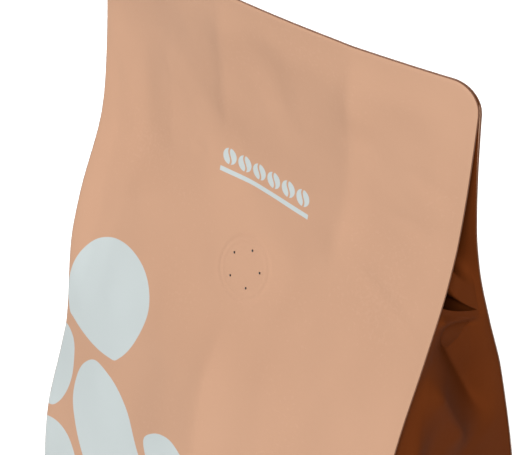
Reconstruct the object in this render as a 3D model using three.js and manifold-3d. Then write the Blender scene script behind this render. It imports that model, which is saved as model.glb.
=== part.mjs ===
// A shut flat-bottomed coffee bag of about one kilogram, full and standing on its base.
// Millimetres. X runs across the front panel, -Y is the front and +Z is up.
// The origin is the middle of the base.
import * as THREE from 'three';
import Module from 'manifold-3d';

// ---- driving dimensions ----
const WIDTH = 145;           // front panel, cut edge to cut edge
const HEIGHT = 340;          // base to cut top edge
const DEPTH = 94;            // front edge to back edge where the bag is full
const HALF_WIDTH = WIDTH / 2;
const HALF_DEPTH = DEPTH / 2;
const FULL_BELOW = 225;      // depth below the top where the bag is full
const BELLY = 6;             // how far the full front and back swell past their edges
const SIDE_BELLY = 2.5;      // the same for the two side gussets
const CORNER = 8;            // radius punched off the two top corners
const CORNER_REACH = 40;     // the rows are level again this far below the cut corner
const FILM = 0.45;           // thickness of a free film edge
const FOLD = HALF_DEPTH;     // a side gusset folded flat reaches this far in
const BASE_ROUND = 3;        // radius between the walls and the base

// The side gusset is folded inwards down to a pleat, and is pushed out below it.
const PLEAT = 70.8;          // mean depth of the pleat's rim below the top
const PLEAT_SLOPE = 6.2;     // the rim is this much higher in front and lower behind
const PLEAT_SPREAD = 25;     // height over which that slope dies away
const PLEAT_FOLD = 4;        // height of the fold above the rim
const PLEAT_POCKET = 7;      // how far the pocket hangs down behind the rim
const RIM_INSET = 1.9;       // the rim's top lies this far in from the panel edges
const RIM_HEIGHT = 4.5;      // height of the rim's rounded top
const HELD_SHARE = 0.2;      // share of the half gusset that its welded edge keeps flat

// One slanting hollow crosses each gusset below the pleat.
const HOLLOW_START = 88;     // depth where it crosses the gusset's middle
const HOLLOW_SLOPE = 34;     // drop from the middle to the back edge
const HOLLOW_WIDTH = 9;
const HOLLOW_DEPTH = 3.5;

// One-way valve behind the front film, with five pinholes.
const VALVE_RADIUS = 9.7;
const VALVE_THICKNESS = 1.6;
const VALVE_PROUD = 0.3;     // its face lifts the film by this much
const VALVE_X = 1.9;
const VALVE_BELOW_TOP = 84.4;
const PINHOLE_RADIUS = 0.4;
const PINHOLE_CIRCLE = 6.2;
const PINHOLES = 5;
const PINHOLE_TURN = 10;     // degrees
const CLEARANCE = 0.3;
const SEAT_REACH = 4;        // the hollow for the valve is cut this far out of the film
const VALVE_SIDES = 48;
const PINHOLE_SIDES = 8;

// ---- small helpers ----
const clamp01 = (v) => Math.min(1, Math.max(0, v));
const mix = (a, b, t) => a + (b - a) * t;
const smooth = (v) => clamp01(v) ** 2 * (3 - 2 * clamp01(v));

// A curve through a few [depth, value] points that never overshoots them.
function profile(points) {
  const slope = points.slice(1).map((p, i) => (p[1] - points[i][1]) / (p[0] - points[i][0]));
  const tangent = points.map((p, i) => {
    if (i === 0) return slope[0];
    if (i === points.length - 1) return slope[i - 1];
    const before = slope[i - 1];
    const after = slope[i];
    return before * after <= 0 ? 0 : (2 * before * after) / (before + after);
  });
  return (depth) => {
    if (depth <= points[0][0]) return points[0][1];
    const i = points.findIndex((p) => depth < p[0]) - 1;
    if (i < 0) return points.at(-1)[1];
    const span = points[i + 1][0] - points[i][0];
    const t = (depth - points[i][0]) / span;
    const bend = t * (1 - t) * span;
    const line = mix(points[i][1], points[i + 1][1], smooth(t));
    return line + bend * (tangent[i] * (1 - t) - tangent[i + 1] * t);
  };
}

// ---- the faces of the bag, by depth below the top edge ----
// Half the spread of the side edges: flat at the top seal, full depth at the contents.
const spread = profile([[0, 0.5], [25, 1.8], [45, 4], [60, 7.4], [80, 14.4], [105, 24],
  [170, 41.5], [195, 45.5], [FULL_BELOW, HALF_DEPTH], [HEIGHT, HALF_DEPTH - 1]]);
// The same for the front film's left edge, which is pinched in a little.
const pinched = profile([[0, 0.5], [25, 1.8], [50, 4.5], [62, 6.9], [90, 18.8], [106, 23.9],
  [138, 29], [147, 32], [172, 40.8], [195, 44.5], [FULL_BELOW, HALF_DEPTH],
  [HEIGHT, HALF_DEPTH - 1]]);
// How far the middle of the front lies ahead of its edges, and of the back behind its edges.
const frontBow = profile([[0, 8], [55, -1.2], [75, -2.5], [130, 4], [FULL_BELOW, BELLY],
  [HEIGHT, 2]]);
const backBow = profile([[0, -8.1], [30, -4.6], [60, -0.6], [130, 4], [FULL_BELOW, BELLY],
  [HEIGHT, 2]]);
const bulge = (x) => 1 - (x / HALF_WIDTH) ** 2;
const backY = (x, depth) => spread(depth) + backBow(depth) * bulge(x);
function frontY(x, depth) {
  const leftness = clamp01(-x / HALF_WIDTH) ** 2;
  return -mix(spread(depth), pinched(depth), leftness) - frontBow(depth) * bulge(x);
}

// The cut top drops round each corner, and the rows below it level out again.
function cornerDrop(x) {
  const past = Math.max(0, Math.abs(x) - (HALF_WIDTH - CORNER));
  return CORNER - Math.sqrt(CORNER ** 2 - past ** 2);
}
const rowDepth = (x, row) => row + cornerDrop(x) * Math.max(0, 1 - row / CORNER_REACH);

// The walls turn in under the bag to meet the flat base.
function baseTuck(depth) {
  const up = clamp01((HEIGHT - depth) / BASE_ROUND);
  return BASE_ROUND * (1 - Math.sqrt(1 - (1 - up) ** 2));
}

// How far the middle of a gusset lies in from the panel edges below the pleat.
const sideInset = profile([[PLEAT, 0.5], [100, 2], [150, 0.5], [FULL_BELOW, -SIDE_BELLY],
  [HEIGHT, -1]]);

// How far a gusset point lies in from the panel edges, and how far it hangs below its row.
// across runs from -1 at the front edge to 1 at the back edge.
function gussetFold(across, row) {
  const inwards = 1 - Math.abs(across);
  const nearRow = Math.exp(-(((row - PLEAT) / PLEAT_SPREAD) ** 2));
  const depth = row + PLEAT_SLOPE * across * nearRow;
  const freeEdge = smooth(inwards / HELD_SHARE);
  const folded = Math.sqrt(FOLD ** 2 - Math.min(spread(depth), FOLD) ** 2) * inwards;
  const slant = HOLLOW_START + HOLLOW_SLOPE * 2 * across - depth;
  const hollow = HOLLOW_DEPTH * Math.exp(-((slant / HOLLOW_WIDTH) ** 2)) * freeEdge;
  const pushedOut = sideInset(depth) * (1 - across ** 2) + hollow;
  if (row <= PLEAT - PLEAT_FOLD) return { inset: folded, depth };
  if (row <= PLEAT) {
    const t = (row - PLEAT + PLEAT_FOLD) / PLEAT_FOLD;
    const pocket = PLEAT_POCKET * Math.sin(Math.PI * t) * freeEdge;
    return { inset: mix(folded, RIM_INSET * freeEdge, t), depth: depth + pocket };
  }
  const down = smooth((row - PLEAT) / RIM_HEIGHT);
  return { inset: mix(RIM_INSET * freeEdge, pushedOut, down), depth };
}

// ---- one closed ring of points at each row ----
const steps = (from, to, count) =>
  Array.from({ length: count }, (_, i) => mix(from, to, i / count));

// Places across the side part of a panel, from the gusset's fold out to the panel edge.
const arcStart = HALF_WIDTH - CORNER;
const sideColumns = [
  ...steps(HALF_WIDTH - FOLD, arcStart, 6),
  ...[0, 30, 60, 90].map((angle) => arcStart + CORNER * Math.sin((angle * Math.PI) / 180)),
];
const middleColumns = steps(sideColumns[0], -sideColumns[0], 7).slice(1).reverse();
const panelColumns = [
  ...sideColumns.map((x) => -x).reverse(),
  ...middleColumns,
  ...sideColumns,
];
// Gusset places from the front edge in to the fold and out to the back edge.
const inwardColumns = sideColumns.map((x) => (HALF_WIDTH - x) / FOLD).reverse();
const gussetColumns = [
  ...inwardColumns.map((inwards) => inwards - 1),
  ...inwardColumns.slice(0, -1).map((inwards) => 1 - inwards).reverse(),
];

function panelPoint(x, row, faceY, towards) {
  const depth = rowDepth(x, row);
  const tuck = baseTuck(depth);
  const tucked = x * (1 - tuck / HALF_WIDTH);
  return [tucked, faceY(x, depth) + towards * tuck, HEIGHT - depth];
}

function gussetPoint(side, across, row) {
  const fold = gussetFold(across, row);
  const inwards = 1 - Math.abs(across);
  const cut = rowDepth(HALF_WIDTH - FOLD * inwards, row) - row;
  const depth = Math.min(HEIGHT, fold.depth + cut);
  const tuck = baseTuck(depth);
  const x = HALF_WIDTH - fold.inset;
  const ahead = frontY(side * x, depth) + FILM + tuck;
  const behind = backY(side * x, depth) - FILM - tuck;
  return [side * (x - tuck), mix(ahead, behind, (1 + across) / 2), HEIGHT - depth];
}

function ring(row) {
  return [
    ...panelColumns.map((x) => panelPoint(x, row, frontY, 1)),
    ...gussetColumns.map((across) => gussetPoint(1, across, row)),
    ...[...panelColumns].reverse().map((x) => panelPoint(x, row, backY, -1)),
    ...[...gussetColumns].reverse().map((across) => gussetPoint(-1, across, row)),
  ];
}

// Rows are close together at the pleat and at the base.
const rows = [
  ...steps(0, PLEAT - PLEAT_FOLD, 12),
  ...steps(PLEAT - PLEAT_FOLD, PLEAT, 4),
  ...steps(PLEAT, PLEAT + RIM_HEIGHT, 3),
  ...steps(PLEAT + RIM_HEIGHT, FULL_BELOW, 16),
  ...steps(FULL_BELOW, HEIGHT - BASE_ROUND, 6),
  HEIGHT - BASE_ROUND,
  HEIGHT - BASE_ROUND * 0.5,
  HEIGHT - BASE_ROUND * 0.15,
  HEIGHT,
];

// ---- solids ----
// Walls between rings that run anticlockwise and go down from one to the next.
function walls(rings) {
  const count = rings[0].length;
  const faces = [];
  for (let i = 0; i + 1 < rings.length; i += 1) {
    for (let j = 0; j < count; j += 1) {
      const a = i * count + j;
      const b = i * count + ((j + 1) % count);
      faces.push(a, a + count, b + count, a, b + count, b);
    }
  }
  return faces;
}

// Closes a ring that has a gusset on each side. Each half of a gusset is joined to the side
// part of the panel next to it, and the middle of the front to the middle of the back.
function pouchCap() {
  const panel = panelColumns.length;
  const side = inwardColumns.length - 1;
  const gusset = gussetColumns.length;
  const frontRight = panel - 1;
  const backRight = panel + gusset;
  const backLeft = backRight + panel - 1;
  const size = 2 * (panel + gusset);
  const faces = [];
  const quad = (a, b, c, d) => faces.push(a, b, c, a, c, d);
  for (let k = 0; k < side; k += 1) {
    quad(frontRight - k - 1, frontRight - k, panel + k, panel + k + 1);
    quad(backRight - k - 2, backRight - k - 1, backRight + k, backRight + k + 1);
    quad(backLeft - k - 1, backLeft - k, backLeft + k + 1, backLeft + k + 2);
    quad(size - k - 2, size - k - 1, k, k + 1);
  }
  const foldRight = panel + side;
  const foldLeft = size - 1 - side;
  const across = panel - 2 * side - 1;
  for (let k = 1; k < across - 1; k += 1) {
    quad(side + k, side + k + 1, backLeft - side - k - 1, backLeft - side - k);
  }
  quad(foldLeft, side, side + 1, backLeft - side - 1);
  faces.push(foldLeft, backLeft - side - 1, backLeft - side);
  quad(foldRight, backRight + side, backRight + side + 1, frontRight - side - 1);
  faces.push(foldRight, frontRight - side - 1, frontRight - side);
  return faces;
}

function meshOf(points, faces) {
  const geometry = new THREE.BufferGeometry();
  geometry.setAttribute('position', new THREE.Float32BufferAttribute(points.flat(), 3));
  geometry.setIndex(faces);
  return geometry;
}

function bagBody() {
  const rings = rows.map(ring);
  const last = (rings.length - 1) * rings[0].length;
  const top = pouchCap();
  const base = top.map((index) => index + last).reverse();
  return meshOf(rings.flat(), [...walls(rings), ...top, ...base]);
}

// A closed drum about local Z.
function drum(radius, low, high, sides) {
  const circle = (z) => Array.from({ length: sides }, (_, i) => {
    const angle = (2 * Math.PI * i) / sides;
    return [radius * Math.cos(angle), radius * Math.sin(angle), z];
  });
  const faces = walls([circle(high), circle(low)]);
  for (let i = 1; i + 1 < sides; i += 1) {
    faces.push(0, i, i + 1, sides, sides + i + 1, sides + i);
  }
  return meshOf([...circle(high), ...circle(low)], faces);
}

const wasm = await Module();
wasm.setup();

function toManifold(geometry) {
  return new wasm.Manifold(new wasm.Mesh({
    numProp: 3,
    vertProperties: new Float32Array(geometry.getAttribute('position').array),
    triVerts: new Uint32Array(geometry.getIndex().array),
  }));
}

function toGeometry(solid) {
  const mesh = solid.getMesh();
  const geometry = new THREE.BufferGeometry();
  geometry.setAttribute('position', new THREE.BufferAttribute(mesh.vertProperties, 3));
  geometry.setIndex(new THREE.BufferAttribute(mesh.triVerts, 1));
  geometry.computeVertexNormals();
  return geometry;
}

// The valve's seat: on the front face, local Z pointing out of the film.
const seatPoint = new THREE.Vector3(
  VALVE_X,
  frontY(VALVE_X, VALVE_BELOW_TOP),
  HEIGHT - VALVE_BELOW_TOP,
);
const lean = Math.atan2(
  frontY(VALVE_X, VALVE_BELOW_TOP - VALVE_RADIUS) - frontY(VALVE_X, VALVE_BELOW_TOP + VALVE_RADIUS),
  2 * VALVE_RADIUS,
);
const seat = new THREE.Matrix4().makeRotationX(Math.PI / 2 - lean).setPosition(seatPoint);

function valveGeometry() {
  const back = VALVE_PROUD - VALVE_THICKNESS;
  let body = toManifold(drum(VALVE_RADIUS, back, VALVE_PROUD, VALVE_SIDES));
  for (let i = 0; i < PINHOLES; i += 1) {
    const angle = THREE.MathUtils.degToRad(PINHOLE_TURN + (360 / PINHOLES) * i);
    const hole = drum(PINHOLE_RADIUS, back - 1, VALVE_PROUD + 1, PINHOLE_SIDES);
    hole.translate(PINHOLE_CIRCLE * Math.cos(angle), PINHOLE_CIRCLE * Math.sin(angle), 0);
    body = body.subtract(toManifold(hole));
  }
  return toGeometry(body);
}

function pouchGeometry() {
  const back = VALVE_PROUD - VALVE_THICKNESS - CLEARANCE;
  const hollow = drum(VALVE_RADIUS + CLEARANCE, back, SEAT_REACH, VALVE_SIDES);
  hollow.applyMatrix4(seat);
  return toGeometry(toManifold(bagBody()).subtract(toManifold(hollow)));
}

// ---- the object ----
const film = new THREE.MeshStandardMaterial({ color: 0xd2a587, roughness: 0.62, metalness: 0 });
const valveFilm = new THREE.MeshStandardMaterial({ color: 0xc79a7c, roughness: 0.6, metalness: 0 });

const pouch = new THREE.Mesh(pouchGeometry(), film);
pouch.name = 'pouch';

const valve = new THREE.Mesh(valveGeometry(), valveFilm);
valve.name = 'valve';
valve.applyMatrix4(seat);

const bag = new THREE.Group();
bag.add(pouch, valve);

export default bag;
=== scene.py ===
import math

import bmesh
import bpy
import numpy as np
from mathutils import Matrix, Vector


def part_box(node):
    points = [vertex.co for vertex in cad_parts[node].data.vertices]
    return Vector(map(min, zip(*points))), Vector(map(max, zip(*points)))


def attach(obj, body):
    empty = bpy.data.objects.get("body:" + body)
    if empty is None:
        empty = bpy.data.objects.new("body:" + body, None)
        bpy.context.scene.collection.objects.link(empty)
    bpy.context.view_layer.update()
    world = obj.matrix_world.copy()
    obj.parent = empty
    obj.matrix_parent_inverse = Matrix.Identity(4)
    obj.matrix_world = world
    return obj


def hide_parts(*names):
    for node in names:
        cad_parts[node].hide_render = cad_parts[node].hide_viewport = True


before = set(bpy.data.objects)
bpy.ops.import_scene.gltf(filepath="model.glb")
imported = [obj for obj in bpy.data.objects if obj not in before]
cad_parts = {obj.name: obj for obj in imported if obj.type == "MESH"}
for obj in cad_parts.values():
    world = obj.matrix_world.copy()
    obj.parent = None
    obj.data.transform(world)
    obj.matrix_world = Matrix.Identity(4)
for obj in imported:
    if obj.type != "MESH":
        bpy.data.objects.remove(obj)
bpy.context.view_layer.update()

# ---------------------------------------------------------------------------
# Front film: one panel of matt printed laminate, peach with pale pebbles low
# down. Its sides are welded to the gussets with a narrow cut edge, its top is
# sealed flat, and the beans push it forward below. Sizes here are millimetres.
# ---------------------------------------------------------------------------
MM = 0.001
BELLY = 6                # how far the beans push the front and the back out
SIDE_BELLY = 2.5         # and each side
pouch_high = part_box("pouch")[1]
valve_low, valve_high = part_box("valve")
HEIGHT = pouch_high.z / MM
HALF_WIDTH = pouch_high.x / MM - SIDE_BELLY
HALF_DEPTH = pouch_high.y / MM - BELLY
FULL_BELOW = 225         # the bag has its full depth from here down
CORNER = 8
CORNER_ROWS = 5 * CORNER   # the mesh rows follow the round corners down to here
BOTTOM_SEAL = 8
VALVE_X = (valve_low.x + valve_high.x) / 2 / MM
VALVE_DEPTH = HEIGHT - (valve_low.z + valve_high.z) / 2 / MM
VALVE_RADIUS = (valve_high.x - valve_low.x) / 2 / MM


def smooth(v):
    v = np.clip(v, 0, 1)
    return v * v * (3 - 2 * v)


def mix(a, b, t):
    return a + (b - a) * t


def hump(v):
    return np.exp(-v * v)


def profile(points):
    """A curve through (depth, value) points that never overshoots them."""
    at, value = np.array(points, float).T
    slope = np.diff(value) / np.diff(at)
    before, after = slope[:-1], slope[1:]
    turning = before * after <= 0
    inner = np.where(turning, 0, 2 * before * after / np.where(turning, 1, before + after))
    tangent = np.concatenate([slope[:1], inner, slope[-1:]])

    def curve(depth):
        depth = np.clip(depth, at[0], at[-1])
        i = np.clip(np.searchsorted(at, depth, "right") - 1, 0, len(slope) - 1)
        span = at[i + 1] - at[i]
        t = (depth - at[i]) / span
        bend = t * (1 - t) * span * (tangent[i] * (1 - t) - tangent[i + 1] * t)
        return mix(value[i], value[i + 1], smooth(t)) + bend

    return curve


# Half the spread of the side edges at each depth below the top. The front film's left edge
# is pinched in a little at a depth of 138.
spread = profile([(0, 0.4), (25, 1.8), (45, 4), (60, 7.4), (80, 14.4), (105, 24),
                  (170, 41.5), (195, 45.5), (FULL_BELOW, HALF_DEPTH), (HEIGHT, HALF_DEPTH - 1)])
pinched = profile([(0, 0.4), (25, 1.8), (50, 4.5), (62, 6.9), (90, 18.8), (106, 23.9), (138, 29),
                   (147, 32), (172, 40.8), (195, 44.5), (FULL_BELOW, HALF_DEPTH),
                   (HEIGHT, HALF_DEPTH - 1)])
# How far the middle of the front lies outside its edges.
front_bow = profile([(0, 8), (55, -1.2), (75, -2.5), (130, 4), (FULL_BELOW, BELLY), (HEIGHT, 2)])


def bulge(x):
    """How strongly a film bows out across its width: 1 in the middle, 0 at its edges."""
    return 1 - (x / HALF_WIDTH) ** 2


LUMP_START = 300         # the lumps are counted from this far to the left of the middle
LUMP_GRID = 64           # and come again after this many


def ripple(x, y, size, seed):
    """Soft lumps about `size` across, from -1 to 1."""
    x = x + LUMP_START
    values = np.random.default_rng(seed).uniform(-1, 1, (LUMP_GRID, LUMP_GRID))
    i, j = np.floor(x / size).astype(int), np.floor(y / size).astype(int)
    s, t = smooth(x / size - i), smooth(y / size - j)
    left, right = i % LUMP_GRID, (i + 1) % LUMP_GRID
    above, below = j % LUMP_GRID, (j + 1) % LUMP_GRID
    near = mix(values[left, above], values[right, above], s)
    far = mix(values[left, below], values[right, below], s)
    return mix(near, far, t)


def lumps(x, depth, sizes):
    """Soft lumps of several sizes together, each given by its height, width and seed."""
    return sum(height * ripple(x, depth, width, seed) for height, width, seed in sizes)


def fold(x, depth, start, end, width, height, bend=0.0):
    """A soft ridge, or a valley if height is negative, that fades at both ends."""
    t, off = beside(x, depth, start, end, bend)
    return height * hump(off / width) * along(t)


WORN = 0.1               # a crease's top is worn round over this share of its width


def crease(x, depth, start, end, left, right, height, bend=0.0):
    """A ridge with a worn top. Each side dies away over its own width, given at both ends."""
    t, off = beside(x, depth, start, end, bend)
    sides = [mix(*widths, smooth(t)) for widths in (left, right)]
    worn = WORN * (sides[0] + sides[1])
    width = mix(*sides, smooth(off / worn / 2 + 0.5))
    return height * np.exp(-(np.hypot(off, worn) - worn) / width) * along(t)


def beside(x, depth, start, end, bend):
    """Where a point lies along a line, 0 to 1, and how far to the right of it going down."""
    reach = np.array(end, float) - start
    length = np.hypot(*reach)
    reach /= length
    t = ((x - start[0]) * reach[0] + (depth - start[1]) * reach[1]) / length
    off = (x - start[0]) * reach[1] - (depth - start[1]) * reach[0]
    return t, off - bend * 4 * t * (1 - t)


PAST_END = 0.15          # a fold runs this share of its length past its ends
END_FADE = 0.4           # and dies away over this share


def along(t):
    """A fold's strength along its line."""
    return smooth((t + PAST_END) / END_FADE) * smooth((1 + PAST_END - t) / END_FADE)


FRONT_CREASES = [  # start, end, widths to the left and right at start and end, height, bend
    ((-13, -8), (-16, 46), (6, 4.5), (10, 9), 1.8, 0),
    ((34.5, -8), (36, 24), (5, 5), (9, 9), 2.0, 0),
    ((36, 18), (31, 72), (12, 14), (4.5, 5), 2.3, 1),
    ((29, 4), (31, 52), (26, 22), (30, 30), 0.8, 0),
    ((-44, 28), (-41, 62), (24, 24), (5.5, 5.5), 0.9, 0),
    ((-56, 22), (-56, 116), (14, 14), (24, 34), -3.6, 3),
    ((-60, 86), (-10, 62), (9, 9), (26, 26), 2.0, 0),
    ((0, 106), (8, 156), (26, 26), (7, 11), 3.9, 0),
    ((22, 104), (36, 146), (9, 11), (18, 18), 1.7, 0),
]
FRONT_DENTS = [  # start, end, width, height
    ((-84, 50), (-66, 47), 8, -1.2),
    ((-30, 57), (-24, 58), 2.5, -0.35),
    ((40, 66), (68, 76), 2.2, -0.3),
    ((44, 98), (58, 100), 2.5, -0.25),
    ((54, 31), (70, 35), 3, -0.35),
    ((48, 46), (64, 47), 2.5, -0.25),
    ((0, 10), (10, 30), 6, -0.4),
    ((50, 6), (66, 24), 7, 0.4),
    ((-34, 100), (-22, 150), 12, -0.8),
    ((30, 190), (52, 262), 9, -0.8),
    ((-60, 236), (-22, 262), 8, -0.7),
    ((-8, 282), (30, 300), 8, -0.6),
]
FRONT_LUMPS = [(0.6, 21, 3), (0.2, 9, 6)]    # height, width, seed
LUMPS_FULL_AT = 12       # the lumps grow from the top edge to their full height here
FOLDS_FULL_AT = 14       # so do the creases and dents
SEAL_SHARE = 0.2         # from this share of it at the top edge, where the seal is flat
FRONT_BEANS = 4          # seed of the beans' press
EDGE_FADE = 9            # all relief dies away this close to the welded sides


def front_relief(x, depth):
    """Creases, dents and the press of the beans on the front, outwards."""
    relief = lumps(x, depth, FRONT_LUMPS) * smooth(depth / LUMPS_FULL_AT)
    for start, end, left, right, height, bend in FRONT_CREASES:
        relief = relief + crease(x, depth, start, end, left, right, height, bend)
    for start, end, width, height in FRONT_DENTS:
        relief = relief + fold(x, depth, start, end, width, height)
    relief = relief * mix(SEAL_SHARE, 1, smooth(depth / FOLDS_FULL_AT))
    relief = relief + bean_press(x, depth, FRONT_BEANS)
    return relief * smooth((HALF_WIDTH - abs(x)) / EDGE_FADE)


PRESS_FROM = 150         # the beans press on the films from this depth
PRESS_OVER = 60          # with their full weight this much lower
PRESS_FOOT = 20          # and no more in the last stretch above the weld at the foot


def bean_press(x, depth, seed):
    """The beans' faint press where the bag is full, under broader swells."""
    full = smooth((depth - PRESS_FROM) / PRESS_OVER)
    full = full * smooth((HEIGHT - depth - BOTTOM_SEAL) / PRESS_FOOT)
    return full * lumps(x, depth, [(0.14, 8.5, seed), (0.7, 34, seed + 1)])


def front_y(x, depth):
    leftness = np.clip(-x / HALF_WIDTH, 0, 1) ** 2
    return -mix(spread(depth), pinched(depth), leftness) - front_bow(depth) * bulge(x)


# The valve's face lifts the film a little and holds it in one leaning plane.
VALVE_PROUD = 0.3
STEP_OUTSIDE = 1.1       # the step up to it starts this far outside the disc
STEP_WIDTH = 1.3
WELD_GROOVE = 0.14       # depth of the groove that the ring weld presses
GROOVE_INSIDE = 0.9
GROOVE_WIDTH = 0.6
SEAT_REACH = 10          # the film has its own shape again this far outside the disc
SEAT_FADE = 9.2
SEAT_Y = float(front_y(VALVE_X, VALVE_DEPTH))
above_valve, below_valve = (float(front_y(VALVE_X, VALVE_DEPTH + step))
                            for step in (-VALVE_RADIUS, VALVE_RADIUS))
LEAN = math.atan2(above_valve - below_valve, 2 * VALVE_RADIUS)


def corner_drop(x):
    """How far the round corners lower the top edge."""
    past = np.maximum(0, abs(x) - (HALF_WIDTH - CORNER))
    return CORNER - np.sqrt(np.maximum(0, CORNER ** 2 - past ** 2))


def row_depth(x, row):
    """The depth of a mesh row, which follows the round corners near the top."""
    return row + corner_drop(x) * np.maximum(0, 1 - row / CORNER_ROWS)


def stops(*spans):
    """Places along a line: each span is (from, to, spacing)."""
    parts = [np.linspace(a, b, max(1, round((b - a) / step)), endpoint=False)
             for a, b, step in spans]
    return np.concatenate([*parts, [spans[-1][1]]])


def front_surface(x, depth):
    """The front film's outer face: lying flat over the valve, its own shape round it."""
    free = front_y(x, depth) - front_relief(x, depth)
    down = depth - VALVE_DEPTH
    radius = np.hypot(x - VALVE_X, down / math.cos(LEAN))
    lifted = VALVE_PROUD * smooth((VALVE_RADIUS + STEP_OUTSIDE - radius) / STEP_WIDTH)
    groove = WELD_GROOVE * hump((radius - VALVE_RADIUS + GROOVE_INSIDE) / GROOVE_WIDTH)
    seat = SEAT_Y - math.tan(LEAN) * down - lifted + groove
    return mix(free, seat, smooth((VALVE_RADIUS + SEAT_REACH - radius) / SEAT_FADE))


def film_piece(name, points, flat, outwards, thickness, material):
    """A film from a grid of points. flat holds its place on the film, in metres, as its UV map."""
    rows, columns = points.shape[:2]
    index = np.arange(rows * columns).reshape(rows, columns)
    corners = [index[:-1, :-1], index[1:, :-1], index[1:, 1:], index[:-1, 1:]]
    if not outwards:
        corners.reverse()
    faces = np.stack(corners, -1).reshape(-1, 4)
    mesh = bpy.data.meshes.new(name)
    mesh.from_pydata((points.reshape(-1, 3) * MM).tolist(), [], faces.tolist())
    layer = mesh.uv_layers.new(name="flat")
    layer.data.foreach_set("uv", (flat.reshape(-1, 2)[faces.ravel()] * MM).ravel())
    mesh.shade_smooth()
    mesh.materials.append(material)
    piece = bpy.data.objects.new(name, mesh)
    bpy.context.scene.collection.objects.link(piece)
    wall = piece.modifiers.new("wall", "SOLIDIFY")
    wall.thickness = thickness * MM
    wall.offset = -1
    bake(piece)
    return piece


def bake(piece):
    """Turns the evaluated piece into a plain mesh and drops its modifiers."""
    graph = bpy.context.evaluated_depsgraph_get()
    mesh = bpy.data.meshes.new_from_object(piece.evaluated_get(graph), depsgraph=graph)
    old = piece.data
    piece.modifiers.clear()
    piece.data = mesh
    bpy.data.meshes.remove(old)
    mesh.name = piece.name


class Value:
    """One shader value: sums and products of values add their Math nodes."""

    tree = None

    def __init__(self, socket):
        self.socket = socket

    @classmethod
    def node(cls, kind, settings=(), **inputs):
        """A node of that type: its settings first, then its inputs by name or number."""
        made = cls.tree.nodes.new(kind)
        for key, value in dict(settings).items():
            setattr(made, key, value)
        for key, value in inputs.items():
            socket = made.inputs[int(key[1:]) if key[1:].isdigit() else key.replace("_", " ")]
            if isinstance(value, Value):
                cls.tree.links.new(value.socket, socket)
            else:
                socket.default_value = value
        return made

    @classmethod
    def of(cls, kind, output=0, settings=(), **inputs):
        return cls(cls.node(kind, settings, **inputs).outputs[output])

    def maths(self, operation, *others):
        inputs = {f"_{i}": value for i, value in enumerate((self, *others))}
        return Value.of("ShaderNodeMath", settings={"operation": operation}, **inputs)

    def __add__(self, other):
        return self.maths("ADD", other)

    def __sub__(self, other):
        return self.maths("SUBTRACT", other)

    def __mul__(self, other):
        return self.maths("MULTIPLY", other)

    def __truediv__(self, other):
        return self.maths("DIVIDE", other)

    def __rsub__(self, other):
        return Value.of("ShaderNodeMath", settings={"operation": "SUBTRACT"}, _0=other, _1=self)

    __radd__ = __add__
    __rmul__ = __mul__

    def within(self, edge, blur):
        """1 where the value is below edge, falling to 0 over blur."""
        return Value.of("ShaderNodeMapRange", settings={"interpolation_type": "SMOOTHSTEP"},
                        Value=self, From_Min=edge - blur, From_Max=edge + blur,
                        To_Min=1.0, To_Max=0.0)


def blend(factor, first, second):
    """The colour first where factor is 0 and second where it is 1."""
    return Value.of("ShaderNodeMix", output=2, settings={"data_type": "RGBA"},
                    _0=factor, _6=first, _7=second)


def srgb(red, green, blue):
    """A colour from its 0 to 255 display values."""
    return tuple(((v / 255 + 0.055) / 1.055) ** 2.4 for v in (red, green, blue)) + (1.0,)


PEACH = srgb(180, 142, 117)
PEACH_DEEP = srgb(173, 135, 110)
PEACH_PALE = srgb(197, 160, 138)
PEBBLE = srgb(177, 184, 184)
PEBBLE_DEEP = srgb(171, 179, 179)
GRAIN_DEPTH = 0.0002     # metres
CLOUDS = 22              # soft clouds of colour, in each metre of film
SPECKS = 900
FINE_GRAIN = 2600
MARK_ROW = 55.6          # depth of the row of printed beans
MARK_HALF = 18.9
MARK_COUNT = 6
MARK_HEIGHT = 5.2
BEAN_HALF = 0.44         # half a bean's width, as a share of its place in the row
SLIT_TURN = 2.6          # how strongly the bean's slit winds
SLIT_SWAY = 0.22
SLIT_HALF = 0.13
RULE_DEPTH = 60.4
RULE_HEIGHT = 1.5
INK_EDGE = 0.03          # how soft the small print's edges are
RULE_EDGE = 0.04
PEBBLE_EDGE = 0.12


def film_material(name):
    material = bpy.data.materials.new(name)
    material.use_nodes = True
    Value.tree = material.node_tree
    Value.tree.nodes.clear()
    return material


def finish_film(colour, roughness, height, strength, shine):
    """Matt laminate: a soft sheen, fine surface grain, and the colour given."""
    bump = Value.of("ShaderNodeBump", Height=height, Strength=strength, Distance=GRAIN_DEPTH)
    shader = Value.node("ShaderNodeBsdfPrincipled", Base_Color=colour, Roughness=roughness,
                        Normal=bump)
    shader.inputs["Specular IOR Level"].default_value = shine
    output = Value.tree.nodes.new("ShaderNodeOutputMaterial")
    Value.tree.links.new(shader.outputs[0], output.inputs[0])


def noise(vector, scale, detail=3.0):
    return Value.of("ShaderNodeTexNoise", Vector=vector, Scale=scale, Detail=detail)


def place_on_film():
    """The place on the film as it lies flat, a vector in metres."""
    return Value.of("ShaderNodeUVMap", settings={"uv_map": "flat"})


def in_millimetres(flat):
    """How far across and how far down the flat film that place is."""
    parts = Value.node("ShaderNodeSeparateXYZ", Vector=flat)
    return Value(parts.outputs[0]) * (1 / MM), Value(parts.outputs[1]) * (1 / MM)


def fine_grain(flat, speck):
    """The laminate's surface, a height for its bump."""
    return noise(flat, FINE_GRAIN, 2.0) * 0.6 + speck * 0.4


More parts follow.
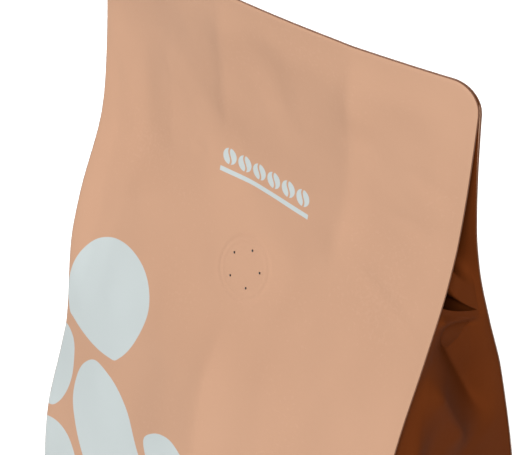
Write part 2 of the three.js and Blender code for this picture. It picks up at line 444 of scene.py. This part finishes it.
def printed_mark(across, down):
    """A row of small coffee beans above a thin rule."""
    pitch = 2 * MARK_HALF / MARK_COUNT
    inside = (across - VALVE_X).maths("ABSOLUTE").within(MARK_HALF, INK_EDGE)
    cell = ((across - (VALVE_X - MARK_HALF)) / pitch).maths("FRACT") - 0.5
    side, up = cell * pitch, down - MARK_ROW
    tall = up / (MARK_HEIGHT / 2)
    wide = side / (pitch * BEAN_HALF)
    bean = (tall * tall + wide * wide).maths("SQRT").within(1.0, INK_EDGE)
    winding = (tall * SLIT_TURN).maths("SINE") * SLIT_SWAY
    slit = (wide - winding).maths("ABSOLUTE").within(SLIT_HALF, INK_EDGE)
    rule = (down - RULE_DEPTH).maths("ABSOLUTE").within(RULE_HEIGHT / 2, RULE_EDGE)
    return inside * (bean * (1 - slit) + rule)


def peach_film(name, with_mark):
    """Peach matt laminate; pebble_edge on the mesh is the distance inside a printed pebble."""
    material = film_material(name)
    flat = place_on_film()
    edge = Value.of("ShaderNodeAttribute", output=2, settings={"attribute_name": "pebble_edge"})
    printed = 1 - edge.within(0.0, PEBBLE_EDGE)
    cloud = noise(flat, CLOUDS, 2.0)
    speck = noise(flat, SPECKS, 2.0)
    rubbed = (cloud * speck * 2.0).within(0.3, 0.06) * 0.1
    ground = blend(rubbed, blend(cloud, PEACH_DEEP, PEACH), PEACH_PALE)
    stones = blend(cloud, PEBBLE_DEEP, PEBBLE)
    if with_mark:
        printed = printed + printed_mark(*in_millimetres(flat))
    colour = blend(printed, ground, stones)
    roughness = 0.56 + speck * 0.1 - printed * 0.05
    finish_film(colour, roughness, fine_grain(flat, speck), strength=0.25, shine=0.08)
    return material


# The printed pebbles: the highest five by points round their outlines (across, depth),
# those further down by a rule, each filling its place up to the channels round it.
CHANNEL = 5              # width of the bare channels between the pebbles
ROUNDING = 1.6           # how far their corners are rounded off
REACH = 23               # how far a pebble may reach from its middle
SHIFT = 1.5              # how far chance moves its middle and changes its reach
PLACED = [
    [(-48.5, 98.6), (-37, 101.9), (-29.9, 112), (-32, 123), (-37.6, 131.8), (-40, 134),
     (-42.5, 134.5), (-68, 133.9), (-70.6, 133.2), (-71.6, 131), (-70.4, 114), (-62.5, 102.4)],
    [(-70, 139), (-65, 140.8), (-61.6, 149.5), (-64, 161), (-71, 169), (-82, 168), (-88, 155),
     (-80, 141)],
    [(-50.5, 139.6), (-41, 139.9), (-29.5, 145.3), (-19, 156.3), (-11.5, 167.5), (-9, 178),
     (-16, 186.5), (-30, 187.5), (-43, 181), (-53, 170), (-58.9, 157), (-56.3, 144.6)],
    [(-67, 173), (-58, 174.3), (-52.5, 179.5), (-48, 192), (-51, 205), (-61, 212), (-73, 210),
     (-82, 200), (-82, 187), (-76, 176.5)],
    [(-17, 149.2), (-12.5, 144), (-4, 141), (6, 144.5), (16, 152), (22, 163), (20, 175),
     (10, 181), (0, 177), (-7.5, 165), (-15, 153.5)],
]
PLACES = [(44, 181), (80, 192), (-24, 214), (17, 209), (57, 221), (-78, 247), (-42, 250),
          (-2, 250), (38, 255), (77, 255), (-62, 287), (-22, 289), (19, 291), (58, 292),
          (-79, 323), (-41, 327), (0, 329), (40, 329), (79, 327)]


def rounded(points, steps=8):
    """A closed smooth curve through the points, as many short straight lines."""
    here = np.array(points, float)
    after = np.roll(here, -1, 0)
    length = np.hypot(*(after - here).T)[:, None]
    before = np.roll(length, 1, 0)
    slope = (after - here) / length
    tangent = (np.roll(slope, 1, 0) * length + slope * before) / (length + before)
    t = np.linspace(0, 1, steps, endpoint=False)[None, :, None]
    start, end = (tangent * length)[:, None], (np.roll(tangent, -1, 0) * length)[:, None]
    curve = (here[:, None] * (2 * t ** 3 - 3 * t ** 2 + 1) + start * (t ** 3 - 2 * t ** 2 + t)
             + after[:, None] * (3 * t ** 2 - 2 * t ** 3) + end * (t ** 3 - t ** 2))
    return curve.reshape(-1, 2)


def inside_outline(x, depth, outline):
    """Distance inside a closed outline, negative outside it."""
    nearest = np.full(x.shape, 1e9)
    crossings = np.zeros(x.shape, int)
    for (ax, ad), (bx, bd) in zip(outline, np.roll(outline, -1, 0)):
        ux, ud = bx - ax, bd - ad
        t = np.clip(((x - ax) * ux + (depth - ad) * ud) / (ux * ux + ud * ud), 0, 1)
        nearest = np.minimum(nearest, np.hypot(x - ax - t * ux, depth - ad - t * ud))
        if ad != bd:
            crossed = ((ad > depth) != (bd > depth)) & (x < ax + (depth - ad) * ux / ud)
            crossings += crossed
    return np.where(crossings % 2 == 1, nearest, -nearest)


dice = np.random.default_rng(8)
centres = [(px + dice.uniform(-SHIFT, SHIFT), pd + dice.uniform(-SHIFT, SHIFT))
           for px, pd in PLACES]
wobbles = [(dice.uniform(-SHIFT, SHIFT), dice.uniform(0, 2 * math.pi)) for place in PLACES]


def pebble_edge(x, depth):
    """Distance inside the nearest printed pebble's outline, negative outside it."""
    placed = np.max([inside_outline(x, depth, rounded(points)) for points in PLACED], 0)
    best = placed
    for i, (px, pd) in enumerate(centres):
        u, v = x - px, depth - pd
        size, turn = wobbles[i]
        reach = REACH + size * np.cos(2 * np.arctan2(v, u) + turn)
        outside = np.exp((np.hypot(u, v) - reach) / ROUNDING)
        outside = outside + np.exp((placed + CHANNEL) / ROUNDING)
        for j, (ox, od) in enumerate(centres):
            gap = math.hypot(ox - px, od - pd)
            if i != j and gap < 3 * REACH:
                past = (u * (ox - px) + v * (od - pd)) / gap - (gap - CHANNEL) / 2
                outside = outside + np.exp(past / ROUNDING)
        best = np.maximum(best, -ROUNDING * np.log(outside))
    return best


def mark_pebbles(piece, mirror=1):
    """Stores the distance to the printed outline on the film's points, from its UV map."""
    mesh = piece.data
    loops = np.zeros(len(mesh.loops) * 2)
    mesh.uv_layers["flat"].data.foreach_get("uv", loops)
    corners = np.zeros(len(mesh.loops), int)
    mesh.loops.foreach_get("vertex_index", corners)
    flat = np.zeros((len(mesh.vertices), 2))
    flat[corners] = loops.reshape(-1, 2) / MM
    edge = pebble_edge(flat[:, 0] * mirror, flat[:, 1])
    attribute = mesh.attributes.new("pebble_edge", "FLOAT", "POINT")
    attribute.data.foreach_set("value", edge.astype(np.float32))


SOCKETS = {int: "NodeSocketInt", float: "NodeSocketFloat", tuple: "NodeSocketVector",
           bpy.types.Material: "NodeSocketMaterial"}


def new_tree(name, sizes):
    """A Geometry Nodes tree with one named input for each size. Gives its input values."""
    tree = bpy.data.node_groups.new(name, "GeometryNodeTree")
    tree.interface.new_socket("Mesh", in_out="OUTPUT", socket_type="NodeSocketGeometry")
    tree.interface.new_socket("Mesh", in_out="INPUT", socket_type="NodeSocketGeometry")
    for label, size in sizes.items():
        tree.interface.new_socket(label, in_out="INPUT", socket_type=SOCKETS[type(size)])
    Value.tree = tree
    return [Value(socket) for socket in Value.node("NodeGroupInput").outputs[:len(sizes) + 1]]


def grow(piece, made, material, sizes):
    """Ends the tree with real meshes in their material, and turns the piece into its result."""
    tree = Value.tree
    real = Value.of("GeometryNodeRealizeInstances", Geometry=made)
    coated = Value.of("GeometryNodeSetMaterial", Geometry=real, Material=material)
    Value.node("NodeGroupOutput", Mesh=coated)
    growth = piece.modifiers.new(tree.name, "NODES")
    growth.node_group = tree
    for item in tree.interface.items_tree:
        if item.in_out == "INPUT" and item.name in sizes:
            growth[item.identifier] = sizes[item.name]
    bake(piece)


FRONT_FILM = 0.25
PUNCH = 1.2              # how long the punch's pins are
PUNCH_SIDES = 16
PINHOLE = 0.4
PINHOLE_CIRCLE = 6.2
PINHOLE_TURN = 10
PINHOLES = 5
seat_place = (VALVE_X * MM, SEAT_Y * MM, (HEIGHT - VALVE_DEPTH) * MM)
seat_tilt = (math.pi / 2 - LEAN, 0.0, 0.0)


def punch_ring(piece, hole_radius, finish):
    """Punches the ring of pinholes through a piece, square to the valve's face."""
    sizes = {"Holes": PINHOLES, "Circle": PINHOLE_CIRCLE * MM, "Turn": math.radians(PINHOLE_TURN),
             "Hole radius": hole_radius * MM, "Seat": seat_place, "Tilt": seat_tilt,
             "Finish": finish}
    mesh, count, circle, turn, hole, seat, tilt, material = new_tree("punched ring", sizes)
    ring = Value.of("GeometryNodeMeshCircle", Vertices=count, Radius=circle)
    pin = Value.of("GeometryNodeMeshCylinder", Vertices=PUNCH_SIDES, Radius=hole,
                   Depth=PUNCH * MM)
    pins = Value.of("GeometryNodeInstanceOnPoints", Points=ring, Instance=pin)
    upright = Value.of("ShaderNodeCombineXYZ", Z=turn)
    turned = Value.of("GeometryNodeTransform", Geometry=pins, Rotation=upright)
    seated = Value.of("GeometryNodeTransform", Geometry=turned, Rotation=tilt, Translation=seat)
    cut = Value.of("GeometryNodeMeshBoolean", settings={"operation": "DIFFERENCE",
                   "solver": "MANIFOLD"}, Mesh_1=mesh, Mesh_2=seated)
    grow(piece, cut, material, sizes)


SEAL_STEP = 0.35         # the weld round the foot stands this much proud
SEAL_RISE = 1.0
SEAL_END = 0.5


def foot_weld(depth):
    """How far the band of the weld at the foot stands proud of the film."""
    rise = smooth((depth - HEIGHT + BOTTOM_SEAL) / SEAL_RISE)
    return SEAL_STEP * rise * smooth((HEIGHT - depth) / SEAL_END)


FINE = 0.42              # spacing of the mesh round the valve
FINE_HALF = 12           # how far it goes to either side
FINE_FROM = 73
FINE_TO = 97
CORNER_STEP = 7          # degrees round each top corner
half_columns = stops((FINE_HALF, HALF_WIDTH - CORNER, 1.3))
corner_turn = np.radians(np.arange(CORNER_STEP, 91, CORNER_STEP))
arc_columns = HALF_WIDTH - CORNER + CORNER * np.sin(corner_turn)
arc_columns[-1] = HALF_WIDTH
middle = stops((-FINE_HALF, FINE_HALF, FINE))
front_columns = np.concatenate([
    -arc_columns[::-1], -half_columns[::-1], middle[1:-1], half_columns, arc_columns])
front_rows = stops((0, FINE_FROM, 1.25), (FINE_FROM, FINE_TO, FINE),
                   (FINE_TO, HEIGHT - BOTTOM_SEAL, 1.35), (HEIGHT - BOTTOM_SEAL, HEIGHT, 0.8))
x, row = np.meshgrid(front_columns, front_rows)
depth = row_depth(x, row)
points = np.stack([x, front_surface(x, depth) - foot_weld(depth), HEIGHT - depth], -1)
peach_front = peach_film("peach_front", with_mark=True)
front = film_piece("front_film", points, np.stack([x, depth], -1), True, FRONT_FILM, peach_front)
mark_pebbles(front)
punch_ring(front, PINHOLE, peach_front)
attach(front, "root")
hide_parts("pouch")

# ---------------------------------------------------------------------------
# Cut edges: where the welded films are cut to size, a fine bead of molten
# laminate stands along the cut, round each panel's top and down its sides.
# ---------------------------------------------------------------------------
BEAD = 0.2
BEAD_SIDES = 8
BEAD_IN = 0.2            # the bead lies this far behind the panel's face, in the weld
# The bead's colours are darker than the films beside it: partly the cut laminate's own tone,
# partly painted shade where the films' edges turn away from the light.
EDGE_TAN_SHADED = srgb(122, 84, 62)
EDGE_DARK_SHADED = srgb(92, 58, 40)


def edge_material():
    material = film_material("cut_edge")
    spot = Value.of("ShaderNodeTexCoord", output=3)
    # painted shade in part: this dark tan draws a darker line along the films' edges
    colour = blend(noise(spot, 260), EDGE_DARK_SHADED, EDGE_TAN_SHADED)
    finish_film(colour, 0.5 + noise(spot, 900) * 0.15, noise(spot, 1800), strength=0.2, shine=0.2)
    return material


def bead_along(name, path, material):
    """A bead along a line of points given in millimetres."""
    line = bpy.data.meshes.new(name)
    links = [(i, i + 1) for i in range(len(path) - 1)]
    line.from_pydata((path * MM).tolist(), links, [])
    piece = bpy.data.objects.new(name, line)
    bpy.context.scene.collection.objects.link(piece)
    sizes = {"Bead radius": BEAD * MM, "Sides": BEAD_SIDES, "Edge": material}
    mesh, radius, sides, finish = new_tree("edge bead", sizes)
    curve = Value.of("GeometryNodeMeshToCurve", Mesh=mesh)
    section = Value.of("GeometryNodeCurvePrimitiveCircle", Resolution=sides, Radius=radius)
    bead = Value.of("GeometryNodeCurveToMesh", Curve=curve, Profile_Curve=section,
                    Fill_Caps=True)
    grow(piece, bead, finish, sizes)
    piece.data.shade_smooth()
    return piece


def panel_outline(columns, rows, face, towards):
    """Down one side, across the top and down the other, just inside the weld."""
    side = [(HALF_WIDTH, row_depth(HALF_WIDTH, r)) for r in rows]
    over = [(c, row_depth(c, 0)) for c in columns]
    path = [(-c, d) for c, d in side[:0:-1]] + over + side[1:]
    return np.array([(c, face(c, d) + towards * BEAD_IN, HEIGHT - d) for c, d in path])


edge_finish = edge_material()
front_bead = bead_along("front_cut_edge",
                        panel_outline(front_columns, front_rows, front_surface, 1), edge_finish)
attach(front_bead, "root")

# ---------------------------------------------------------------------------
# Side gussets: two films of plain brown laminate, welded behind the cut edges
# of the front and back. Each is folded in along its middle at the top, turns
# over a pleat, and is pushed out by the beans below it.
# ---------------------------------------------------------------------------
EDGE_WELD = 0.15         # the gussets' edges lie this far in from the cut
GUSSET_FILM = 0.15
BEHIND_PANEL = 0.25
FOLDED_TO = 42           # down to here the gusset is folded in flat
UNFOLDED_OVER = 18       # and it has come out this much lower
WELD_SHARE = 0.2         # it moves freely from this share of its half width in from its welds
PLEAT = 70.8             # depth of the pleat's rim halfway across
PLEAT_SLOPE = 6.2        # the rim is this much higher in front and lower behind
PLEAT_SPREAD = 25
POCKET_ROWS = 4          # the pocket's mesh rows lie in this stretch above the rim
GAPE = 10.5              # how far the pocket above the rim gapes at the front edge
GAPE_END = 0.78          # where it closes, across
GAPE_EASE = 0.1
GAPE_SPREAD = 10
POCKET_IN = 18           # how far the pocket reaches in and down behind the rim
POCKET_DOWN = 24
LIP_INSET = 2.4          # the pocket's upper lip lies this much further in at the front
RIM_INSET = 1.0
RIM_HEIGHT = 4.5
BROWN = srgb(95, 46, 18)
BROWN_DEEP = srgb(84, 38, 13)
GUSSET_CREASES = [  # start, end (back from the middle, depth), widths, height outwards, bend
    ((-3, 76), (22, 122), (5, 6), (7, 7), -5.6, 0),
    ((-11, 90), (10, 126), (9, 9), (5.5, 6.5), 4.4, 0),
    ((-34, 126), (6, 154), (8, 8), (16, 16), 2.2, -2),
    ((0, 152), (32, 192), (14, 14), (7, 7), 2.4, 0),
]
GUSSET_FOLDS = [  # start, end, width, height outwards
    ((-15, 104), (-23, 146), 6.5, 2.4),
    ((14, 80), (26, 112), 7, 1.0),
    ((-11, 67.8), (9, 78), 1.8, 1.1),
    ((4, 79.5), (11, 81), 1.0, -0.4),
    ((-34, 190), (-8, 236), 9, -1.4),
    ((10, 214), (34, 262), 9, 1.4),
]
GUSSET_LUMPS = (0.45, 14)     # height, width
RELIEF_RIM = 5           # the folds start this far below the rim
RELIEF_WELD = 0.4        # and are full this share of the half width in from the welds
MIDDLE_LINE = 0.3        # the line that the factory fold leaves down the middle
MIDDLE_LINE_HALF = 0.9
MIDDLE_LINE_FROM = 130
MIDDLE_LINE_FADE = 30
# How far the middle of the gusset lies in from its edges, where the beans fill it.
swell = profile([(PLEAT, 0), (76, 0.5), (90, 1.5), (112, 2.5), (150, 1),
                 (FULL_BELOW, -SIDE_BELLY), (HEIGHT, -1)])


def gusset_fold(across, row, seed, strength):
    """How far a gusset point lies in from the panels' edges, and its depth."""
    inwards = 1 - abs(across)
    free = smooth(inwards / WELD_SHARE)
    t = np.clip((row - PLEAT + POCKET_ROWS) / POCKET_ROWS, 0, 1)
    open_part = 1 - np.clip((across + 1) / (1 + GAPE_END), 0, 1)
    close = (POCKET_ROWS - GAPE * open_part) * (1 - t)
    close = close * hump(np.minimum(0, row - PLEAT + POCKET_ROWS) / GAPE_SPREAD)
    depth = row + PLEAT_SLOPE * across * hump((row - PLEAT) / PLEAT_SPREAD) + close
    folded = np.sqrt(HALF_DEPTH ** 2 - np.minimum(spread(depth), HALF_DEPTH) ** 2) * inwards
    lip = (RIM_INSET + LIP_INSET * open_part) * free
    lip = mix(folded, lip, smooth((row - FOLDED_TO) / UNFOLDED_OVER))
    gaping = free * smooth(open_part / GAPE_EASE)
    pocket = np.sin(np.pi * t) * gaping
    above = mix(lip, RIM_INSET * free, t) + POCKET_IN * pocket
    back = across * spread(depth)
    relief = lumps(back, depth, [(*GUSSET_LUMPS, seed)])
    for start, end, left, right, height, bend in GUSSET_CREASES:
        relief = relief + crease(back, depth, start, end, left, right, height, bend)
    for start, end, width, height in GUSSET_FOLDS:
        relief = relief + fold(back, depth, start, end, width, height)
    relief = strength * relief * smooth((row - PLEAT) / RELIEF_RIM) * smooth(inwards / RELIEF_WELD)
    relief = relief + bean_press(back, depth, seed)
    line = MIDDLE_LINE * hump(back / MIDDLE_LINE_HALF)
    relief = relief + line * smooth((depth - MIDDLE_LINE_FROM) / MIDDLE_LINE_FADE)
    pushed = swell(depth) * (1 - across ** 2) - relief * free
    below = mix(RIM_INSET * free, pushed, smooth((row - PLEAT) / RIM_HEIGHT))
    return (np.where(row < PLEAT, above, below),
            depth + POCKET_DOWN * np.sin(np.pi * t ** 3) * gaping)


def brown_film():
    material = film_material("brown_gusset")
    flat = place_on_film()
    cloud = noise(flat, 30, 3.0)
    speck = noise(flat, SPECKS, 2.0)
    colour = blend(cloud, BROWN_DEEP, BROWN)
    finish_film(colour, 0.46 + speck * 0.1, fine_grain(flat, speck), strength=0.3, shine=0.004)
    return material


# The back film's shape, which the gussets' rear edges follow.
back_bow = profile([(0, -8.1), (30, -4.6), (60, -0.6), (130, 4), (FULL_BELOW, BELLY), (HEIGHT, 2)])
BACK_LUMPS = [(0.26, 21, 33)]     # height, width, seed
BACK_LUMPS_FULL_AT = 20
BACK_BEANS = 34          # seed of the beans' press
SEALED_TO = 6            # down to here the back lies on the front
PARTED_OVER = 30         # and it has its own folds this much lower
BACK_FOLDS = [  # start, end, width, height outwards, bend
    ((18, -4), (22, 60), 5, 0.7, 2),
    ((-44, 2), (-30, 44), 6, 0.9, 2),
    ((-10, 40), (-16, 96), 7, -0.8, 0),
    ((50, 40), (60, 100), 8, -0.9, 0),
    ((-50, 90), (-20, 140), 8, 0.8, 0),
    ((14, 130), (44, 214), 10, -0.9, 0),
    ((-56, 196), (-30, 268), 9, -0.8, 0),
]


def back_relief(x, depth):
    """Folds and the press of the beans on the back. At the seal it follows the front."""
    relief = lumps(x, depth, BACK_LUMPS) * smooth(depth / BACK_LUMPS_FULL_AT)
    for start, end, width, height, bend in BACK_FOLDS:
        relief = relief + fold(x, depth, start, end, width, height, bend)
    relief = relief + bean_press(x, depth, BACK_BEANS)
    relief = relief * smooth((HALF_WIDTH - abs(x)) / EDGE_FADE)
    return mix(-front_relief(x, depth), relief, smooth((depth - SEALED_TO) / PARTED_OVER))


def back_y(x, depth):
    return spread(depth) + back_bow(depth) * bulge(x)


def back_surface(x, depth):
    """The back film's outer face."""
    return back_y(x, depth) + back_relief(x, depth)


LEFT_STRENGTH = 0.4      # the left gusset's folds are weaker than the right one's
LEFT_SEED = 23
RIGHT_SEED = 11
brown = brown_film()
front_half = stops((-1, -0.75, 0.0125), (-0.75, 0, 0.025))
across_stops = np.concatenate([front_half[:-1], -front_half[::-1]])
gusset_rows = stops((0, PLEAT - 12, 1.4), (PLEAT - 12, PLEAT - POCKET_ROWS, 0.6),
                    (PLEAT - POCKET_ROWS, PLEAT + 8, 0.25), (PLEAT + 8, 160, 1.1),
                    (160, HEIGHT, 1.5))
across, row = np.meshgrid(across_stops, gusset_rows)
for side, name, seed, strength in ((1, "gusset_right", RIGHT_SEED, 1),
                                   (-1, "gusset_left", LEFT_SEED, LEFT_STRENGTH)):
    inset, depth = gusset_fold(across, row, seed, strength)
    column = HALF_WIDTH - EDGE_WELD - HALF_DEPTH * (1 - abs(across))
    depth = np.minimum(HEIGHT, depth + row_depth(column, row) - row)
    x = HALF_WIDTH - EDGE_WELD - inset
    ahead = front_surface(side * x, depth) + BEHIND_PANEL
    behind = back_surface(side * x, depth) - BEHIND_PANEL
    y = mix(ahead, behind, (1 + across) / 2)
    points = np.stack([side * x, y, HEIGHT - depth], -1)
    flat = np.stack([across * HALF_DEPTH, depth], -1)
    gusset = film_piece(name, points, flat, side > 0, GUSSET_FILM, brown)
    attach(gusset, "root")

# ---------------------------------------------------------------------------
# Back film: the same printed laminate as the front, with no valve, sealed to
# the front across the top and welded to the gussets down both sides.
# ---------------------------------------------------------------------------
back_columns = np.concatenate([
    -arc_columns[::-1], stops((-(HALF_WIDTH - CORNER), HALF_WIDTH - CORNER, 1.7)), arc_columns])
back_rows = stops((0, HEIGHT - BOTTOM_SEAL, 1.6), (HEIGHT - BOTTOM_SEAL, HEIGHT, 0.8))
x, row = np.meshgrid(back_columns, back_rows)
depth = row_depth(x, row)
points = np.stack([x, back_surface(x, depth) + foot_weld(depth), HEIGHT - depth], -1)
back = film_piece("back_film", points, np.stack([x, depth], -1), False, FRONT_FILM,
                  peach_film("peach_back", with_mark=False))
mark_pebbles(back, mirror=-1)
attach(back, "root")
back_bead = bead_along("back_cut_edge",
                       panel_outline(back_columns, back_rows, back_surface, -1), edge_finish)
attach(back_bead, "root")

# ---------------------------------------------------------------------------
# Base film: a brown panel welded inside the foot of the four walls. The beans
# press it flat on whatever the bag stands on.
# ---------------------------------------------------------------------------
BASE_INSIDE = 1.5
BASE_LIFT = 1.2          # how far its welded edge stands off the ground
BASE_RIM = 0.8           # the rise to that edge starts at this share of the way out
BASE_RIM_WIDTH = 0.2
BASE_LINE = 0.3          # the line of the factory fold from side to side
BASE_LINE_HALF = 1.2
BASE_COLUMNS = 73
BASE_ROWS = 49
u, v = np.meshgrid(np.linspace(-1, 1, BASE_COLUMNS), np.linspace(-1, 1, BASE_ROWS))
x = u * (HALF_WIDTH - BASE_INSIDE)
front_edge = front_y(x, HEIGHT) + BASE_INSIDE
back_edge = back_y(x, HEIGHT) - BASE_INSIDE
y = mix(front_edge, back_edge, (v + 1) / 2)
rise = smooth((np.maximum(abs(u), abs(v)) - BASE_RIM) / BASE_RIM_WIDTH)
fold_line = BASE_LINE * hump(y / BASE_LINE_HALF)
z = BASE_LIFT * rise + fold_line * (1 - rise)
points = np.stack([x, y, z], -1)
base = film_piece("base_film", points, np.stack([x, y], -1), True, GUSSET_FILM, brown)
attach(base, "root")

# ---------------------------------------------------------------------------
# Valve: a round one-way valve of dark plastic, heat-welded behind the front
# film, so that only its rim's relief and what shows in the pinholes is seen.
# ---------------------------------------------------------------------------
VALVE_FACE = 0.02        # its face, out from the film's own surface
VALVE_BACK = -1.55
VENT = 0.6               # radius of the vents behind the pinholes
VALVE_SIDES = 72
SHARP_FROM = 35          # degrees; flatter edges are shaded smooth
VALVE_PROFILE = [  # radius, height: over the face, round the flange and across the back
    (0, VALVE_FACE), (7.9, VALVE_FACE), (8.1, -0.15), (VALVE_RADIUS, -0.15),
    (VALVE_RADIUS, -0.8), (9.5, -0.95), (7.4, -0.95),
    (7.2, -1.4), (7, VALVE_BACK), (3, VALVE_BACK), (2.8, -1.3), (0, -1.3)]
VALVE_GREY = srgb(58, 48, 43)
VALVE_DARK = srgb(38, 31, 28)


def valve_plastic():
    material = film_material("valve_plastic")
    spot = Value.of("ShaderNodeTexCoord", output=3)
    colour = blend(noise(spot, 700), VALVE_DARK, VALVE_GREY)
    finish_film(colour, 0.45 + noise(spot, 1500) * 0.2, noise(spot, 3000), strength=0.3, shine=0.4)
    return material


turned = bmesh.new()
outline = [turned.verts.new((r * MM, 0, h * MM)) for r, h in VALVE_PROFILE]
edges = [turned.edges.new(pair) for pair in zip(outline, outline[1:])]
bmesh.ops.spin(turned, geom=outline + edges, axis=(0, 0, 1), cent=(0, 0, 0),
               angle=2 * math.pi, steps=VALVE_SIDES, use_merge=True)
bmesh.ops.remove_doubles(turned, verts=turned.verts, dist=0.01 * MM)
bmesh.ops.recalc_face_normals(turned, faces=turned.faces)
turned.transform(Matrix.Translation(seat_place) @ Matrix.Rotation(seat_tilt[0], 4, "X"))
valve_mesh = bpy.data.meshes.new("valve_disc")
turned.to_mesh(valve_mesh)
turned.free()
plastic = valve_plastic()
valve_mesh.materials.append(plastic)
valve_mesh.shade_smooth()
valve_mesh.set_sharp_from_angle(angle=math.radians(SHARP_FROM))
valve = bpy.data.objects.new("valve_disc", valve_mesh)
bpy.context.scene.collection.objects.link(valve)
punch_ring(valve, VENT, plastic)
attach(valve, "root")
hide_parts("valve")

# ---------------------------------------------------------------------------
# Floor, light and camera: a pale studio floor, one broad soft light from above
# on the right and weaker ones from the other side and the back.
# ---------------------------------------------------------------------------
FLOOR = 6.0              # half its width, in metres, as all sizes here are
FLOOR_PAINT = (0.7, 0.7, 0.693, 1.0)
ROOM_LIGHT = 0.13
floor_mesh = bpy.data.meshes.new("floor")
floor_mesh.from_pydata([(-FLOOR, -FLOOR, 0), (FLOOR, -FLOOR, 0), (FLOOR, FLOOR, 0),
                        (-FLOOR, FLOOR, 0)], [], [(0, 1, 2, 3)])
floor = bpy.data.objects.new("floor", floor_mesh)
bpy.context.scene.collection.objects.link(floor)
floor_material = film_material("floor_paint")
surface = Value.node("ShaderNodeBsdfDiffuse", Color=FLOOR_PAINT)
output = Value.tree.nodes.new("ShaderNodeOutputMaterial")
Value.tree.links.new(surface.outputs[0], output.inputs[0])
floor_mesh.materials.append(floor_material)

world = bpy.data.worlds.new("studio")
world.use_nodes = True
sky = world.node_tree.nodes["Background"]
sky.inputs["Color"].default_value = (1, 1, 1, 1)
sky.inputs["Strength"].default_value = ROOM_LIGHT
bpy.context.scene.world = world


def softbox(name, place, aim, size, power):
    light = bpy.data.lights.new(name, "AREA")
    light.size = size
    light.energy = power
    lamp = bpy.data.objects.new(name, light)
    lamp.location = place
    bpy.context.scene.collection.objects.link(lamp)
    point_at(lamp, aim)


def point_at(thing, aim):
    towards = [a - b for a, b in zip(aim, thing.location)]
    flat_reach = math.hypot(towards[0], towards[1])
    thing.rotation_euler = (math.atan2(flat_reach, -towards[2]), 0,
                            math.atan2(-towards[0], towards[1]))


softbox("key", place=(2.24, -3.58, 3.92), aim=(0, 0, 0.25), size=2.0, power=389)
softbox("fill", place=(-1.3, -0.8, 0.9), aim=(0, 0, 0.2), size=1.5, power=2.5)
softbox("backdrop", place=(-1.6, 1.6, 1.6), aim=(-0.3, 0.6, 0), size=1.4, power=125)

TOP = HEIGHT * MM
camera_data = bpy.data.cameras.new("camera")
camera_data.lens = 101.1
camera_data.sensor_width = 36
camera_data.clip_start = 0.01
camera = bpy.data.objects.new("camera", camera_data)
camera.location = (0.25607, -0.26161, TOP + 0.17348)
bpy.context.scene.collection.objects.link(camera)
point_at(camera, (0.02189, -0.02919, TOP - 0.05267))
bpy.context.scene.camera = camera
bpy.context.scene.view_settings.view_transform = "Standard"
